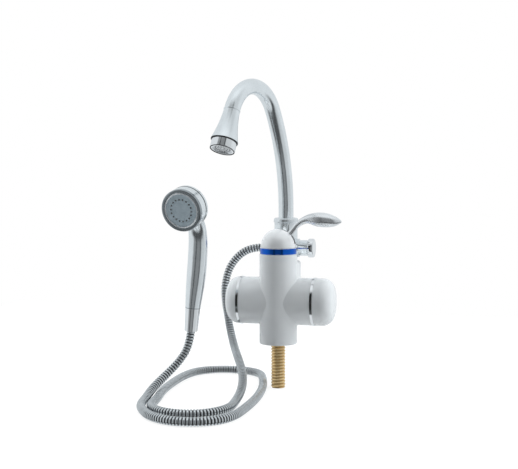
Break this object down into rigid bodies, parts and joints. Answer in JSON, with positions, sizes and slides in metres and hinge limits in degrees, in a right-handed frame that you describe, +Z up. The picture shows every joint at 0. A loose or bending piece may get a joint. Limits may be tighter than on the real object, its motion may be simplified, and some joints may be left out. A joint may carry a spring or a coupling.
{
  "type": "instant hot water tap",
  "caption": "Deck-mounted electric instant hot water tap with a cross-shaped heater body, lever valve, swan-neck swivel spout, diverter knob and hand shower on a ribbed metal hose.",
  "frame": {"origin": "centre of the column's underside, on the face that stands on the sink deck", "axes": "+Z up along the column, +X along the heater barrel towards the diverter knob, -Y towards the user"},
  "size_m": [0.2519, 0.3602, 0.4398],
  "materials": {
    "white_plastic": "smooth gloss",
    "chrome": "polished",
    "brass": "machined",
    "pipe_plastic": "moulded",
    "tank_steel": "drawn",
    "board": "solder mask",
    "black_rubber": "matt",
    "blue_ring": "clear tinted gloss",
    "screen_plastic": "moulded",
    "hose_steel": "polished wound strip",
    "bezel_grey": "polished",
    "plate_grey": "satin"
  },
  "bodies": {
    "base": {"tap_housing": "white_plastic", "left_trim_ring": "chrome", "right_trim_ring": "chrome", "left_end_cap": "white_plastic", "right_end_cap": "white_plastic", "threaded_shank": "brass", "inlet_tube": "pipe_plastic", "outlet_tube": "pipe_plastic", "heater_tank": "tank_steel", "tank_cover": "tank_steel", "heating_element": "tank_steel", "thermal_cutout": "pipe_plastic", "control_board": "board", "flow_switch": "pipe_plastic", "cable_gland": "black_rubber", "light_ring": "blue_ring", "cartridge_body": "pipe_plastic", "cartridge_nut": "brass", "diverter_tee": "chrome", "hose_nut": "chrome", "spout_collar": "chrome", "shower_hose": "hose_steel", "hose_ferrule": "chrome"},
    "handle": {"dome_cap": "chrome", "cartridge_stem": "brass", "lever_pin": "tank_steel"},
    "lever": {"lever_handle": "chrome"},
    "spout": {"spout_tube": "chrome", "spout_seals": "black_rubber", "spout_nozzle": "chrome", "aerator_housing": "chrome", "aerator_screen": "screen_plastic"},
    "diverter": {"diverter_knob": "chrome", "diverter_stem": "brass"},
    "handset": {"handset_body": "chrome", "handset_bezel": "bezel_grey", "spray_plate": "plate_grey"}
  },
  "joints": [
    {"name": "handle_turn", "type": "hinge", "parent": "base", "child": "handle", "pos_m": [0, 0, 0.14], "axis": [0, 0, 1], "range_deg": [-180, 0]},
    {"name": "lever_lift", "type": "hinge", "parent": "handle", "child": "lever", "pos_m": [0.009, 0, 0.1481], "axis": [0, -1, 0], "range_deg": [0, 22]},
    {"name": "spout_swivel", "type": "hinge", "parent": "base", "child": "spout", "pos_m": [0, 0.05, 0.168], "axis": [0, 0, 1], "continuous": true},
    {"name": "diverter_pull", "type": "slide", "parent": "base", "child": "diverter", "axis": [1, 0, 0], "range_m": [0, 0.007]},
    {"name": "handset_swivel", "type": "hinge", "parent": "base", "child": "handset", "pos_m": [-0.106, -0.08, 0.026], "axis": [0.0872, 0, 0.9962], "continuous": true}
  ]
}
